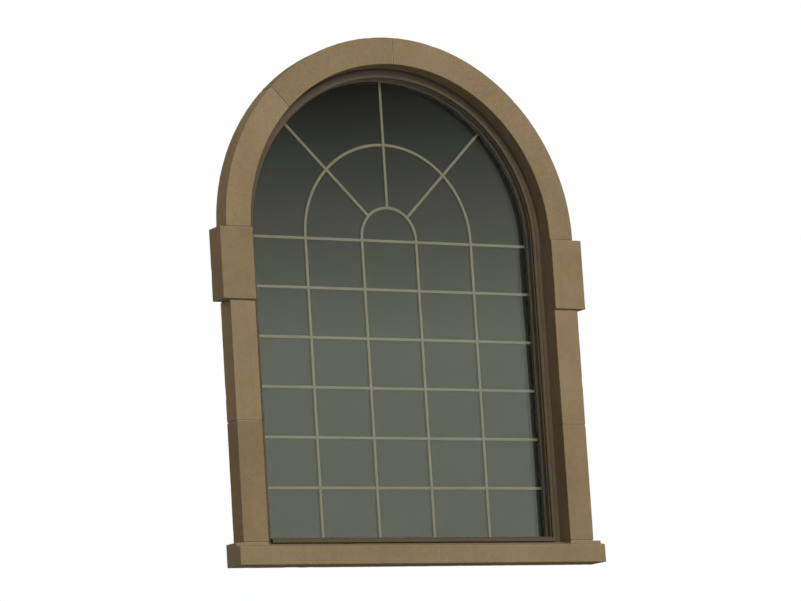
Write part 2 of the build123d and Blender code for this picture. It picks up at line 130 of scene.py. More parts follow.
# %% [markdown]
# Materials are made of nodes, and a few short helpers keep that readable: they add a node and feed
# its sockets, blend two colours, or map a value from one range to another. Each is what a hand
# would do in the Shader Editor.

# %% Node helpers
def feed(tree, made, feeds):
    """Give inputs, by name or number, a plain value or the output that drives them."""
    for key, value in feeds.items():
        if isinstance(value, bpy.types.NodeSocket):
            tree.links.new(value, made.inputs[key])
        else:
            made.inputs[key].default_value = value


def put(tree, kind, settings=None, **feeds):
    """Add a node with its settings and feed its inputs; a low line stands for a space."""
    made = tree.nodes.new(kind)
    for word, value in (settings or {}).items():
        setattr(made, word, value)
    feed(tree, made, {word.replace("_", " "): value for word, value in feeds.items()})
    return made


def blend(tree, factor, first, second, way="MIX"):
    """Blend two colours; the factor is a number or an output."""
    made = put(tree, "ShaderNodeMix", {"data_type": "RGBA", "blend_type": way})
    feed(tree, made, {0: factor, 6: first, 7: second})
    return made.outputs[2]


def spread(tree, value, low, high, out_low=0.0, out_high=1.0):
    """Map a value between two limits to two others, held at the ends."""
    limits = {"From_Min": low, "From_Max": high, "To_Min": out_low, "To_Max": out_high}
    return put(tree, "ShaderNodeMapRange", {"clamp": True}, Value=value, **limits).outputs[0]


def reckon(tree, way, first, second=0.0):
    """One step of arithmetic on two values."""
    made = put(tree, "ShaderNodeMath", {"operation": way})
    feed(tree, made, {0: first, 1: second})
    return made.outputs[0]


def choose(tree, mask, first, second):
    """Mix two shaders by a mask and send them to the material's output."""
    mixed = put(tree, "ShaderNodeMixShader", Fac=mask)
    feed(tree, mixed, {1: first.outputs[0], 2: second.outputs[0]})
    feed(tree, tree.nodes["Material Output"], {0: mixed.outputs[0]})


def rgba(red, green, blue):
    return (red, green, blue, 1.0)


print("node helpers ready")

# %% [markdown]
# The floor is pale and plain. The camera is lower than the sill, so the floor would hide the
# window from it: seen from below it is see-through, by the Backfacing output. It glows a little,
# so that it stays pale beyond the reach of the lamps. The world is white to the camera. Glass and
# metal see it pale low down and dark overhead, so that they show a gradient. Matt surfaces get a
# soft light from it, full from front and back, weak and warm from the sides, less from the ground.

# %% Floor and world
FLOOR_HALF = 120.0
FLOOR_DROP = 0.0008
FLOOR_GLOW = 0.28
WHITE = rgba(1, 1, 1)
floor_shape = bmesh.new()
bmesh.ops.create_grid(floor_shape, x_segments=1, y_segments=1, size=FLOOR_HALF)
bmesh.ops.translate(floor_shape, vec=(0, 0, -FLOOR_DROP), verts=floor_shape.verts)
floor_mesh = bpy.data.meshes.new("studio_floor")
floor_shape.to_mesh(floor_mesh)
floor_shape.free()
floor = show("studio_floor", floor_mesh)
floor.visible_shadow = False
floor.visible_diffuse = False
floor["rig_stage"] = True

floor_paint = bpy.data.materials.new("studio_floor")
floor_paint.use_nodes = True
tree = floor_paint.node_tree
pale = tree.nodes["Principled BSDF"]
feed(tree, pale, {"Base Color": rgba(0.82, 0.82, 0.81), "Roughness": 0.9})
feed(tree, pale, {"Emission Color": WHITE, "Emission Strength": FLOOR_GLOW})
below = put(tree, "ShaderNodeNewGeometry").outputs["Backfacing"]
choose(tree, below, pale, put(tree, "ShaderNodeBsdfTransparent"))
floor_mesh.materials.append(floor_paint)

WORLD_LEVEL = 0.58
GROUND_LEVEL = 0.30
GROUND_TO_SKY = (-0.35, 0.35)
SIDE_TO_FRONT = (0.35, 0.9)
LOW_TO_OVERHEAD = (0.150, 0.218)
SIDE_LIGHT = rgba(0.215, 0.180, 0.155)
SKY_MIRRORED = rgba(0.94, 0.96, 0.87)
OVERHEAD_MIRRORED = rgba(0.070, 0.070, 0.062)
world = bpy.data.worlds.new("studio")
world.use_nodes = True
bpy.context.scene.world = world
tree = world.node_tree
ray = put(tree, "ShaderNodeLightPath").outputs
towards = put(tree, "ShaderNodeTexCoord").outputs["Generated"]
_, deep, height = put(tree, "ShaderNodeSeparateXYZ", Vector=towards).outputs
level = spread(tree, height, *GROUND_TO_SKY, GROUND_LEVEL, WORLD_LEVEL)
straight = spread(tree, reckon(tree, "ABSOLUTE", deep), *SIDE_TO_FRONT)
tone = blend(tree, straight, SIDE_LIGHT, WHITE)
soft_light = blend(tree, 1.0, tone, level, "MULTIPLY")
overhead = spread(tree, height, *LOW_TO_OVERHEAD)
mirrored = blend(tree, overhead, SKY_MIRRORED, OVERHEAD_MIRRORED)
in_mirror = reckon(tree, "MAXIMUM", ray["Is Glossy Ray"], ray["Is Transmission Ray"])
sky = blend(tree, in_mirror, soft_light, mirrored)
sky = blend(tree, ray["Is Camera Ray"], sky, WHITE)
feed(tree, tree.nodes["Background"], {"Color": sky})
print("world level:", WORLD_LEVEL)

# %% [markdown]
# Three large, soft lamps: the key in front and above, a faint fill from the left, and one behind
# for the back views. Their powers are set so that a surface facing them renders about as its
# colour is written. Large panes of glass would mirror them as white discs, so the glass and metal
# mirror the world alone.

# %% Lamps
LAMPS = {
    "key": ((3.0, -20.0, 14.0), 7.0, 3150.0),
    "fill": ((-7.0, -4.5, 2.5), 4.0, 12.0),
    "back": ((-3.5, 7.5, 5.5), 4.0, 300.0),
}
window_middle = (cad_low + cad_high) / 2
for name, (place, width, power) in LAMPS.items():
    light = bpy.data.lights.new(name, "AREA")
    light.shape = "DISK"
    light.size = width
    light.energy = power
    lamp = show(name, light)
    lamp.location = place
    lamp.visible_glossy = False
    lamp.visible_transmission = False
    lamp.rotation_mode = "QUATERNION"
    lamp.rotation_quaternion = (window_middle - Vector(place)).to_track_quat("-Z", "Y")
bpy.context.scene.view_settings.view_transform = "Standard"
print("lamps:", sorted(LAMPS))

# %% [markdown]
# Every new piece ends the same way: doubles are merged, faces are turned outwards, hard corners
# are marked sharp, and the piece takes the place of its solid. Two attributes are written on its
# points: how near a worn edge they are, and how far along the moulding, which brush marks follow.

# %% Finishing a piece
SHARP_TURN = math.radians(38)
CORNER_TURN = 0.6
FLAT_TURN = 0.15
WORN_TURN = 0.9
FOOT_SHIFT = 5.0


def run_of(kind, place):
    """Where a point is on a moulding: from the centre line, from front to back, along the run."""
    if kind == "head":
        reach = math.hypot(place.x, place.z - SPRINGING)
        return Vector((reach, place.y, math.atan2(place.z - SPRINGING, place.x) * OPENING))
    if kind == "foot":
        return Vector((FOOT_TURN - place.z, place.y, place.x - FOOT_SHIFT))
    side = 1.0 if place.x > 0 else -1.0
    along = place.z - SPRINGING if side > 0 else math.pi * OPENING + SPRINGING - place.z
    return Vector((abs(place.x), place.y, along))


def face_out(bm):
    bmesh.ops.recalc_face_normals(bm, faces=bm.faces)


def round_edges(bm, chosen, width, segments=3):
    """Round the edges for which chosen(edge) is true."""
    edges = [edge for edge in bm.edges if edge.is_manifold and chosen(edge)]
    bmesh.ops.bevel(
        bm, geom=edges, offset=width, offset_type="OFFSET", affect="EDGES",
        segments=segments, profile=0.5, material=-1, clamp_overlap=True,
    )


def round_corners(bm, verts, width, segments):
    """Round some corners of a flat section."""
    bmesh.ops.bevel(
        bm, geom=verts, offset=width, affect="VERTICES", segments=segments, profile=0.5, material=-1,
    )


def is_corner(edge):
    return edge.calc_face_angle(0.0) > CORNER_TURN


def is_corner_before(edge, depth):
    """True for a hard corner that lies in front of a depth."""
    return is_corner(edge) and all(vert.co.y < depth for vert in edge.verts)


def hardest_turn(vert):
    return max(edge.calc_face_angle(0.0) for edge in vert.link_edges)


def pull(bm, faces, travel):
    """Extrude faces by a travel and give back the points that moved."""
    grown = bmesh.ops.extrude_face_region(bm, geom=faces)["geom"]
    moved = [part for part in grown if isinstance(part, bmesh.types.BMVert)]
    bmesh.ops.translate(bm, vec=travel, verts=moved)
    return moved


def everything(bm):
    return bm.verts[:] + bm.edges[:] + bm.faces[:]


def finish_piece(bm, node, slot, kind="block", tone=0.0):
    """Make the mesh an object that stands for the node."""
    bmesh.ops.remove_doubles(bm, verts=bm.verts, dist=MERGE)
    face_out(bm)
    worn = bm.verts.layers.float.new("edge")
    toned = bm.verts.layers.float.new("tone")
    run = bm.verts.layers.float_vector.new("run")
    for vert in bm.verts:
        turn = hardest_turn(vert)
        vert[worn] = min(1.0, turn / WORN_TURN) if turn > FLAT_TURN else 0.0
        vert[toned] = tone
        vert[run] = run_of(kind, vert.co)
    mesh = bpy.data.meshes.new(node + "_finished")
    bm.to_mesh(mesh)
    bm.free()
    mesh.shade_smooth()
    mesh.set_sharp_from_angle(angle=SHARP_TURN)
    piece = show(node + "_finished", mesh)
    flats = piece.modifiers.new("flat faces stay flat", "WEIGHTED_NORMAL")
    flats.keep_sharp = True
    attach(piece, "root")
    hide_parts(node)
    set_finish(piece, slot)
    return piece


print("finishing helper ready")

# %% [markdown]
# Cast stone is moulded and then handled: its long edges in front are eased, its faces are flat,
# and the edges waver a little. A block starts as a cube, the eased edges come from
# bevel, and a cut close to each edge keeps wear near the edge. Sculpting would give more, but the
# stone is nearly new.

# %% Stone helpers
ARRIS = 0.004
FINE_ARRIS = 0.0012
WEAR_BAND = 0.014
WEAR_STEP = 0.012
WEAR_DEPTH = 0.0009
WAVER_SCALE, WAVER_LIFT = 38, 0.15
CHIP_SCALE, CHIP_LIMIT, CHIP_GAIN = 11, 0.38, 6
TONE_SPREAD = 0.8
CUT_NEAR = 1e-7
FACE_NEAR = 1e-5
UPRIGHT_RISE = 0.1


def block(low, high):
    """A box between two corners."""
    bm = bmesh.new()
    bmesh.ops.create_cube(bm, size=1.0)
    low, high = Vector(low), Vector(high)
    bmesh.ops.scale(bm, vec=high - low, verts=bm.verts)
    bmesh.ops.translate(bm, vec=(low + high) / 2, verts=bm.verts)
    return bm


def slice_at(bm, place, across):
    """Cut new edges round the mesh where a plane meets it."""
    bmesh.ops.bisect_plane(bm, geom=everything(bm), plane_co=place, plane_no=across, dist=CUT_NEAR)


def trim(bm, place, outwards):
    """Take away what lies beyond a plane and close the cut."""
    cut = bmesh.ops.bisect_plane(
        bm, geom=everything(bm), plane_co=place, plane_no=outwards, dist=CUT_NEAR, clear_outer=True
    )
    rim = [part for part in cut["geom_cut"] if isinstance(part, bmesh.types.BMEdge)]
    bmesh.ops.edgeloop_fill(bm, edges=rim)


def wear_edges(bm, seed):
    """Let the stone's edges waver, inwards only."""
    face_out(bm)
    bm.normal_update()
    shift = Vector((seed * 7.3, seed * 3.1, seed * 5.7))
    moves = []
    for vert in bm.verts:
        if hardest_turn(vert) < FLAT_TURN:
            continue
        waver = max(0.0, noise.noise(vert.co * WAVER_SCALE + shift) + WAVER_LIFT)
        chip = max(0.0, noise.noise(vert.co * CHIP_SCALE + shift * 2) - CHIP_LIMIT) * CHIP_GAIN
        moves.append((vert, vert.normal * -WEAR_DEPTH * (waver + chip)))
    for vert, move in moves:
        vert.co += move


def dress_block(bm, low, high, seed):
    """Cut wear bands near the edges of a box and steps along it, then wear it."""
    for axis in range(3):
        across = Vector([float(axis == number) for number in range(3)])
        for edge_place in (low[axis] + WEAR_BAND, high[axis] - WEAR_BAND):
            slice_at(bm, across * edge_place, across)
    longest = max(range(3), key=lambda number: high[number] - low[number])
    along = Vector([float(longest == number) for number in range(3)])
    steps = int((high[longest] - low[longest]) / WEAR_STEP)
    for step in range(2, steps - 1):
        slice_at(bm, along * (low[longest] + step * WEAR_STEP), along)
    wear_edges(bm, seed)


print("stone helpers ready")

# %% [markdown]
# Each side of the opening has two jamb stones and, above them, a taller and prouder impost block
# that carries the arch. Their front edges are eased by 4 mm, the ends only just, so that the
# mortar joints stay fine lines.

# %% Jamb stones and impost blocks
def on_face(edge, front, skip_ends):
    """True for the eased edges: on the front face, and upright where ends are skipped."""
    if any(abs(vert.co.y - front) > FACE_NEAR for vert in edge.verts):
        return False
    upright = abs(edge.verts[0].co.z - edge.verts[1].co.z) > UPRIGHT_RISE
    return upright or not skip_ends


def stone_block(node, low, high, skip_ends, seed, tone):
    low, high = Vector(low), Vector(high)
    bm = block(low, high)
    round_edges(bm, lambda edge: on_face(edge, low.y, skip_ends), ARRIS)
    round_edges(bm, is_corner, FINE_ARRIS, 2)
    dress_block(bm, low, high, seed)
    return finish_piece(bm, node, "cast_stone", tone=tone)


IMPOST_FRONT = -0.014
stones = []
for side, word in ((1, "right"), (-1, "left")):
    for level, bottom, top, outer, front in (
        ("jamb_stone_lower", 0.136, 0.812, STONE_OUTER, 0.0),
        ("jamb_stone_upper", 0.818, 1.497, STONE_OUTER, 0.0),
        ("impost_block", 1.503, 1.917, IMPOST_OUTER, IMPOST_FRONT),
    ):
        near, far = sorted((side * OPENING, side * outer))
        seed = len(stones) + 1
        tone = TONE_SPREAD * noise.noise(Vector((seed * 1.7, 0.3, 0.9)))
        plain_ends = level != "impost_block"
        stones.append(stone_block(
            f"{level}_{word}", (near, front, bottom), (far, STONE_BACK, top), plain_ends, seed, tone,
        ))
print("stones:", len(stones), "faces in the first:", len(stones[0].data.polygons))

# %% [markdown]
# The ring is four equal stones. One could be modelled and turned four times, but their joints
# run parallel to the radius, 3 mm off it, so each is spun a little long and then trimmed by two
# planes. Spin is the right tool for any section that follows a circle.

# %% Ring stones
RING_COUNT = 4
RING_STEPS = 60
HALF_JOINT = 0.003
SPARE_TURN = math.radians(1.0)
RING_SEED = 20


def turned(angle):
    """The direction from the arch centre at an angle from the right springing."""
    return Vector((math.cos(angle), 0.0, math.sin(angle)))


def spin_round(bm, angle, steps=ARC_STEPS):
    """Spin a section about the arch centre."""
    bmesh.ops.spin(
        bm, geom=everything(bm), cent=ARCH_CENTRE, axis=-INWARD, angle=angle, steps=steps,
        use_merge=False,
    )
    face_out(bm)


def lies_in(edge, planes):
    """True for an edge that lies in one of some planes."""
    return any(
        all(abs((vert.co - place).dot(outwards)) < FACE_NEAR for vert in edge.verts)
        for place, outwards in planes
    )


def ring_stone(number):
    start, end = number * math.pi / RING_COUNT, (number + 1) * math.pi / RING_COUNT
    planes = []
    for angle, way in ((start, -1.0), (end, 1.0)):
        outwards = way * Vector((-math.sin(angle), 0.0, math.cos(angle)))
        planes.append((ARCH_CENTRE - outwards * HALF_JOINT, outwards))
    bm = bmesh.new()
    corners = ((OPENING, 0.0), (STONE_OUTER, 0.0), (STONE_OUTER, STONE_BACK), (OPENING, STONE_BACK))
    bm.faces.new([bm.verts.new((reach, deep, SPRINGING)) for reach, deep in corners])
    early = Matrix.Rotation(-(start - SPARE_TURN), 3, "Y")
    bmesh.ops.rotate(bm, cent=ARCH_CENTRE, matrix=early, verts=bm.verts)
    spin_round(bm, end - start + 2 * SPARE_TURN, RING_STEPS)
    for place, outwards in planes:
        trim(bm, place, outwards)
    round_edges(bm, lambda edge: is_corner_before(edge, MERGE) and not lies_in(edge, planes), ARRIS)
    round_edges(bm, is_corner, FINE_ARRIS, 2)
    for deep in (WEAR_BAND, STONE_BACK - WEAR_BAND):
        slice_at(bm, INWARD * deep, INWARD)
    for place, outwards in planes:
        slice_at(bm, place - outwards * WEAR_BAND, outwards)
    wear_edges(bm, RING_SEED + number)
    tone = TONE_SPREAD * noise.noise(Vector((number * 2.3, 4.1, 0.2)))
    return finish_piece(bm, f"ring_stone_{number + 1}", "cast_stone", tone=tone)


ring = [ring_stone(number) for number in range(RING_COUNT)]
print("ring stones:", len(ring), "faces each:", len(ring[0].data.polygons))

# %% [markdown]
# The stone sill throws rain off: its top slopes to the front, its nose overhangs, and a groove
# under the nose makes drops fall. Its ends are built up level as seats for the jamb stones. One
# section is extruded across the window, and the seats are pulled up out of its top.

# %% Stone sill
SILL_NOSE = -0.045
NOSE_TOP = 0.104
WASH_TOP = 0.084
GROOVE_NEAR, GROOVE_FAR, GROOVE_DEPTH = -0.034, -0.024, 0.005
NEARLY_ALL = 0.98
SILL_SEED = 31
sill = bmesh.new()
sill_corners = (
    (SILL_NOSE, 0.0), (GROOVE_NEAR, 0.0), (GROOVE_NEAR, GROOVE_DEPTH),
    (GROOVE_FAR, GROOVE_DEPTH), (GROOVE_FAR, 0.0), (STONE_BACK, 0.0), (STONE_BACK, SEAT),
    (WASH_TOP, SEAT), (SILL_NOSE, NOSE_TOP),
)
rim = [sill.verts.new((-IMPOST_OUTER, deep, up)) for deep, up in sill_corners]
sill.faces.new(rim)
round_corners(sill, rim[2:4], GROOVE_DEPTH * NEARLY_ALL, 4)
pull(sill, sill.faces[:], (2 * IMPOST_OUTER, 0, 0))
face_out(sill)
for side in (-1, 1):
    slice_at(sill, ACROSS * side * OPENING, ACROSS)
slice_at(sill, Vector((0, 0, 0)), INWARD)
seats = [
    face for face in sill.faces
    if face.normal.z > 0.5 and abs(face.calc_center_median().x) > OPENING
    and 0.0 < face.calc_center_median().y < WASH_TOP
]
for lifted in pull(sill, seats, (0, 0, 0)):
    lifted.co.z = SEAT
bmesh.ops.remove_doubles(sill, verts=sill.verts, dist=MERGE)
face_out(sill)


def is_square_behind(edge):
    """True for a square corner that lies behind the groove."""
    square = edge.calc_face_angle(0.0) > 1.0
    return square and all(vert.co.y > GROOVE_FAR + 0.004 for vert in edge.verts)


round_edges(sill, lambda edge: is_corner_before(edge, SILL_NOSE + MM), ARRIS)
round_edges(sill, is_square_behind, FINE_ARRIS, 2)
for step in range(1, int(2 * IMPOST_OUTER / WEAR_STEP)):
    slice_at(sill, ACROSS * (step * WEAR_STEP - IMPOST_OUTER), ACROSS)
for deep in (SILL_NOSE + WEAR_BAND * 0.6, STONE_BACK - WEAR_BAND):
    slice_at(sill, INWARD * deep, INWARD)
slice_at(sill, UP * (NOSE_TOP - WEAR_BAND), UP)
wear_edges(sill, SILL_SEED)
sill_piece = finish_piece(sill, "stone_sill", "cast_stone", tone=0.1)
print("stone sill faces:", len(sill_piece.data.polygons))

# %% [markdown]
# The casing, frame, beads and stops are all mouldings: one section that runs up a leg, round the
# arch and, for some, along the foot. A curve with a bevel profile could do this in one go, but
# the real ones are cut in separate lengths, so each length is its own piece: a flat section with
# its corners rounded, then extruded or spun, and mitred by a plane where it turns a corner.

# %% Moulding helper
END_EASE = 0.0004
WIDE_ROUND, MIDDLE_ROUND = 6, 1.9


def section_face(bm, corners, rounds, place):
    """One flat face from a section in mm, with the numbered corners rounded."""
    verts = [bm.verts.new(place(reach * MM, deep * MM)) for reach, deep in corners]
    bm.faces.new(verts)
    for radius in sorted(set(rounds.values()), reverse=True):
        chosen = [verts[number] for number, value in rounds.items() if value == radius]
        segments = 8 if radius > WIDE_ROUND else (4 if radius > MIDDLE_ROUND else 2)
        round_corners(bm, chosen, radius * MM, segments)


def length_of(bm, kind, corners, rounds, low, mitre=None, half=None):
    """Run a section along one length: a leg, the head or the foot."""
    if kind == "foot":
        section_face(bm, corners, rounds, lambda reach, deep: (-half, deep, FOOT_TURN - reach))
    else:
        section_face(bm, corners, rounds, lambda reach, deep: (reach, deep, SPRINGING))
    if kind == "head":
        spin_round(bm, math.pi)
    else:
        pull(bm, bm.faces[:], (2 * half, 0, 0) if kind == "foot" else (0, 0, low - SPRINGING))
    face_out(bm)
    if mitre:
        corner = Vector((mitre, 0, SIGHT_BOTTOM))
        if kind == "foot":
            trim(bm, corner, Vector((1, 0, 1)).normalized())
            trim(bm, Vector((-mitre, 0, SIGHT_BOTTOM)), Vector((-1, 0, 1)).normalized())
        elif kind != "head":
            trim(bm, corner, Vector((-1, 0, -1)).normalized())
    if kind == "left":
        bmesh.ops.scale(bm, vec=(-1, 1, 1), verts=bm.verts)
        face_out(bm)


def is_cut_end(edge):
    """True for the rim of a cut end: a hard corner that doesn't run along the length."""
    return is_corner(edge) and any(len(face.verts) > 4 for face in edge.link_faces)


def moulding(node, slot, kind, corners, rounds, low, mitre=None, half=None):
    bm = bmesh.new()
    length_of(bm, kind, corners, rounds, low, mitre, half)
    round_edges(bm, is_cut_end, END_EASE, 1)
    finish_piece(bm, node, slot, kind)


def level_length(corners, rounds, half):
    """A section in mm, from front to back and up, run level across the window."""
    bm = bmesh.new()
    section_face(bm, corners, rounds, lambda deep, up: (-half, deep, up))
    pull(bm, bm.faces[:], (2 * half, 0, 0))
    face_out(bm)
    return bm


print("moulding helper ready")

# %% [markdown]
# The casing covers the joint between frame and stone. Seen from the glass outwards it has a
# rounded inner edge, a fine quirk, a flat, and a bevel at the stone. The frame behind it is
# rebated for the glass.

# %% Casing and sill nosing
CASING = (
    (954, 85.5), (954, 87), (958, 87), (958, 84), (984, 84), (988, 88), (988, 106), (938, 106),
    (938, 92), (942.2, 86.1),
)
CASING_ROUNDS = {9: 6.6, 3: 1.0, 4: 1.4, 5: 1.4, 0: 0.5}
CASING_INNER = 0.938
CASING_FOOT = 0.136
NOSING = ((70, 136), (106, 136), (106, 164), (70, 156))
NOSING_ROUNDS = {0: 1.5, 3: 4.0}
for kind in MEMBERS:
    moulding(f"brickmould_{kind}", "painted_casing", kind, CASING, CASING_ROUNDS, CASING_FOOT)

nosing = level_length(NOSING, NOSING_ROUNDS, CASING_INNER)
round_edges(nosing, is_cut_end, END_EASE, 1)
finish_piece(nosing, "sill_nosing", "painted_casing", "foot")
print("casing lengths:", len(MEMBERS), "and a nosing")

# %% Frame
FRAME = ((932, 106), (972, 106), (972, 222), (950, 222), (950, 137), (932, 137))
FRAME_ROUNDS = {0: 1.2, 5: 1.0, 3: 0.8}
for kind, node in zip(MEMBERS, ("frame_jamb_right", "frame_jamb_left", "frame_head")):
    moulding(node, "painted_frame", kind, FRAME, FRAME_ROUNDS, SEAT)

FRAME_SILL = ((106, 130), (222, 130), (222, 152), (137, 152), (137, 170), (106, 166))
FRAME_SILL_ROUNDS = {4: 1.0, 5: 1.2}
SILL_REST = 0.137
TONGUE = 0.018
base = level_length(FRAME_SILL, FRAME_SILL_ROUNDS, SIGHT)
slice_at(base, INWARD * SILL_REST, INWARD)
for side in (-1, 1):
    tongue = [
        face for face in base.faces
        if face.normal.x * side > 0.9 and face.calc_center_median().y > SILL_REST
    ]
    pull(base, tongue, (side * TONGUE, 0, 0))
finish_piece(base, "frame_sill", "painted_frame", "foot")
print("frame lengths: 4")

# %% [markdown]
# Sloping beads hold the glass from outside, and stops with a rounded edge hold it from the room.
# Both run all round, mitred at the two bottom corners.

# %% Beads and stops
BEAD = ((950, 137), (938, 137), (938, 140), (932, 163), (950, 163))
BEAD_ROUNDS = {1: 0.8, 2: 1.2, 3: 1.4}
STOP = ((932, 194), (950, 194), (950, 222), (932, 222))
STOP_ROUNDS = {3: 12.0, 0: 0.6, 2: 0.6}
BEAD_FOOT = 0.150
SPARE_HALF = 0.955
for kind in (*MEMBERS, "foot"):
    for stem, slot, corners, rounds in (
        ("glazing_bead", "bead_paint", BEAD, BEAD_ROUNDS),
        ("interior_stop", "interior_paint", STOP, STOP_ROUNDS),
    ):
        moulding(f"{stem}_{kind}", slot, kind, corners, rounds, BEAD_FOOT, SIGHT, SPARE_HALF)
print("beads and stops: 4 each")

# %% [markdown]
# A bead of sealant closes the gap between casing and stone, tooled hollow with a wet finger, over
# a round foam rod that stops it sinking in. Both run up one side, round the arch and down the
# other without a joint, so three lengths are gathered into one mesh.

# %% Sealant and backer rod
def gathered(lengths):
    """Join several bmeshes into one."""
    joined = bmesh.new()
    for bm in lengths:
        mesh = bpy.data.meshes.new("gathered")
        bm.to_mesh(mesh)
        bm.free()
        joined.from_mesh(mesh)
        bpy.data.meshes.remove(mesh)
    return joined


def whole_run(corners, rounds, low, extra=()):
    """A section run up one side, round the arch and down the other."""
    lengths = []
    for kind in MEMBERS:
        bm = bmesh.new()
        length_of(bm, kind, corners, rounds, low)
        lengths.append(bm)
    return gathered(lengths + list(extra))


HOLLOW = ((988, 86), (991, 87.7), (994, 88), (997, 87.7), (1000, 86), (1000, 96), (988, 96))
BED_HALF, BED_FRONT, BED_BACK = 0.988, 0.086, 0.096
sealant_bed = block((-BED_HALF, BED_FRONT, SEAT), (BED_HALF, BED_BACK, CASING_FOOT))
finish_piece(whole_run(HOLLOW, {}, SEAT, [sealant_bed]), "perimeter_sealant", "sealant", "head")
ROD_RADIUS = 5.7
ROD_REACH, ROD_DEPTH = 994, 102
ROD = [
    (ROD_REACH + reach * ROD_RADIUS, ROD_DEPTH + deep * ROD_RADIUS)
    for reach, deep in ((-1, -1), (1, -1), (1, 1), (-1, 1))
]
ROD_ROUNDS = {number: ROD_RADIUS * 0.999 for number in range(len(ROD))}
rod = whole_run(ROD, ROD_ROUNDS, CASING_FOOT)
print("sealant and rod, points in the rod:", len(rod.verts))
finish_piece(rod, "backer_rod", "foam_rod", "head")

# %% [markdown]
# The bars between the panes are flat and pale, halved into each other where they cross. A bar is
# an outline with its halvings, extruded across its width, with edges softly rounded as a rolled
# profile has. One helper makes level bars, uprights and spokes: only the placing differs.

# %% Straight bars of the grille
BAR_HALF = 0.008
BAR_FRONT, BAR_MIDDLE, BAR_BACK = 0.175, 0.179, 0.183
BAR_EDGE = 0.0011
TOP_ROW, ROW_STEP, ROW_COUNT = 1.904, 0.289, 6
ROWS = [TOP_ROW - ROW_STEP * number for number in range(ROW_COUNT)]
INNER_ARC, OUTER_ARC = 0.182, 0.556
UPRIGHTS = (-OUTER_ARC, -INNER_ARC, INNER_ARC, OUTER_ARC)
SPOKES = (45, 90, 135)


def bar(node, start, end, halvings, cut_front, place):
    """A straight bar from start to end along X, halved at some places, put there by a matrix."""
    plain, notched = (BAR_BACK, BAR_FRONT) if cut_front else (BAR_FRONT, BAR_BACK)
    points = [(end, plain), (start, plain), (start, notched)]
    for middle in sorted(halvings):
        near, far = middle - BAR_HALF, middle + BAR_HALF
        points += [(near, notched), (near, BAR_MIDDLE), (far, BAR_MIDDLE), (far, notched)]
    points.append((end, notched))
    bm = bmesh.new()
    bm.faces.new([bm.verts.new((along, deep, -BAR_HALF)) for along, deep in points])
    pull(bm, bm.faces[:], (0, 0, 2 * BAR_HALF))
    face_out(bm)
    round_edges(bm, is_corner, BAR_EDGE, 2)
    bmesh.ops.transform(bm, matrix=place, verts=bm.verts)
    finish_piece(bm, node, "grille_paint")


def spoke_turn(angle):
    """The matrix that puts a bar along X on a spoke."""
    return Matrix.Translation(ARCH_CENTRE) @ Matrix.Rotation(math.radians(-angle), 4, "Y")


SPACER_HALF = 0.934
SPACER_FLOOR = 0.168
for number, height in enumerate(ROWS):
    level = Matrix.Translation((0, 0, height))
    bar(f"grille_level_bar_{number + 1}", -SPACER_HALF, SPACER_HALF, UPRIGHTS, False, level)
on_end = Matrix.Rotation(math.radians(-90), 4, "Y")
for number, across in enumerate(UPRIGHTS):
    upright = Matrix.Translation((across, 0, 0)) @ on_end
    bar(f"grille_upright_bar_{number + 1}", SPACER_FLOOR, SPRINGING, ROWS, True, upright)
for number, angle in enumerate(SPOKES):
    spoke = f"grille_spoke_bar_{number + 1}"
    bar(spoke, INNER_ARC + BAR_HALF, SPACER_HALF, (OUTER_ARC,), False, spoke_turn(angle))
print("straight bars:", len(ROWS) + len(UPRIGHTS) + len(SPOKES))

# %% [markdown]
# The two curved bars are spun. The outer one is halved where the spokes pass, and those notches
# are square to the spokes, not to the arc, so a Boolean takes them out.

# %% Curved bars of the grille
SPARE_SIDE, SPARE_FRONT = 0.02, 0.01


def carve(bm, cutter):
    """Take the cutter's shape out of the mesh with an exact Boolean."""
    things = []
    for shape in (bm, cutter):
        mesh = bpy.data.meshes.new("carving")
        shape.to_mesh(mesh)
        shape.free()
        things.append(show("carving", mesh))
    cut = things[0].modifiers.new("cut", "BOOLEAN")
    cut.operation = "DIFFERENCE"
    cut.solver = "EXACT"
    cut.object = things[1]
    carved = bmesh.new()
    carved.from_object(things[0], bpy.context.evaluated_depsgraph_get())
    for thing in things:
        bpy.data.objects.remove(thing)
    return carved


def arc_bar(node, middle, halvings):
    bm = bmesh.new()
    near, far = middle - BAR_HALF, middle + BAR_HALF
    rim = ((near, BAR_FRONT), (far, BAR_FRONT), (far, BAR_BACK), (near, BAR_BACK))
    bm.faces.new([bm.verts.new((reach, deep, SPRINGING)) for reach, deep in rim])
    spin_round(bm, math.pi)
    if halvings:
        cutters = []
        for angle in halvings:
            low = (near - SPARE_SIDE, BAR_FRONT - SPARE_FRONT, -BAR_HALF)
            cutter = block(low, (far + SPARE_SIDE, BAR_MIDDLE, BAR_HALF))
            bmesh.ops.transform(cutter, matrix=spoke_turn(angle), verts=cutter.verts)
            cutters.append(cutter)
        bm = carve(bm, gathered(cutters))
    round_edges(bm, is_corner, BAR_EDGE, 2)
    finish_piece(bm, node, "grille_paint")


arc_bar("grille_arc_bar_inner", INNER_ARC, ())
arc_bar("grille_arc_bar_outer", OUTER_ARC, SPOKES)
print("curved bars: 2")

# %% [markdown]
# Small screws hold the stops. The head is a disc drawn in at the rim, with a cross pressed into
# it: four planes cut the disc into strips, and the strips that make a cross are pushed down.

# %% Stop screws
HEAD_RADIUS = 0.003
HEAD_RISE = 0.0005
HEAD_STEPS = ((0.6, 0.97), (0.4, 0.78))
CROSS_HALF = 0.00045
CROSS_REACH = 0.0017
CROSS_DEPTH, CROSS_TAPER = 0.0007, 0.75
STOP_SCREW_DEPTH = 0.201
SIDE_SCREWS = 5
HEAD_SCREWS = 9
SCREW_TWIST = 0.7


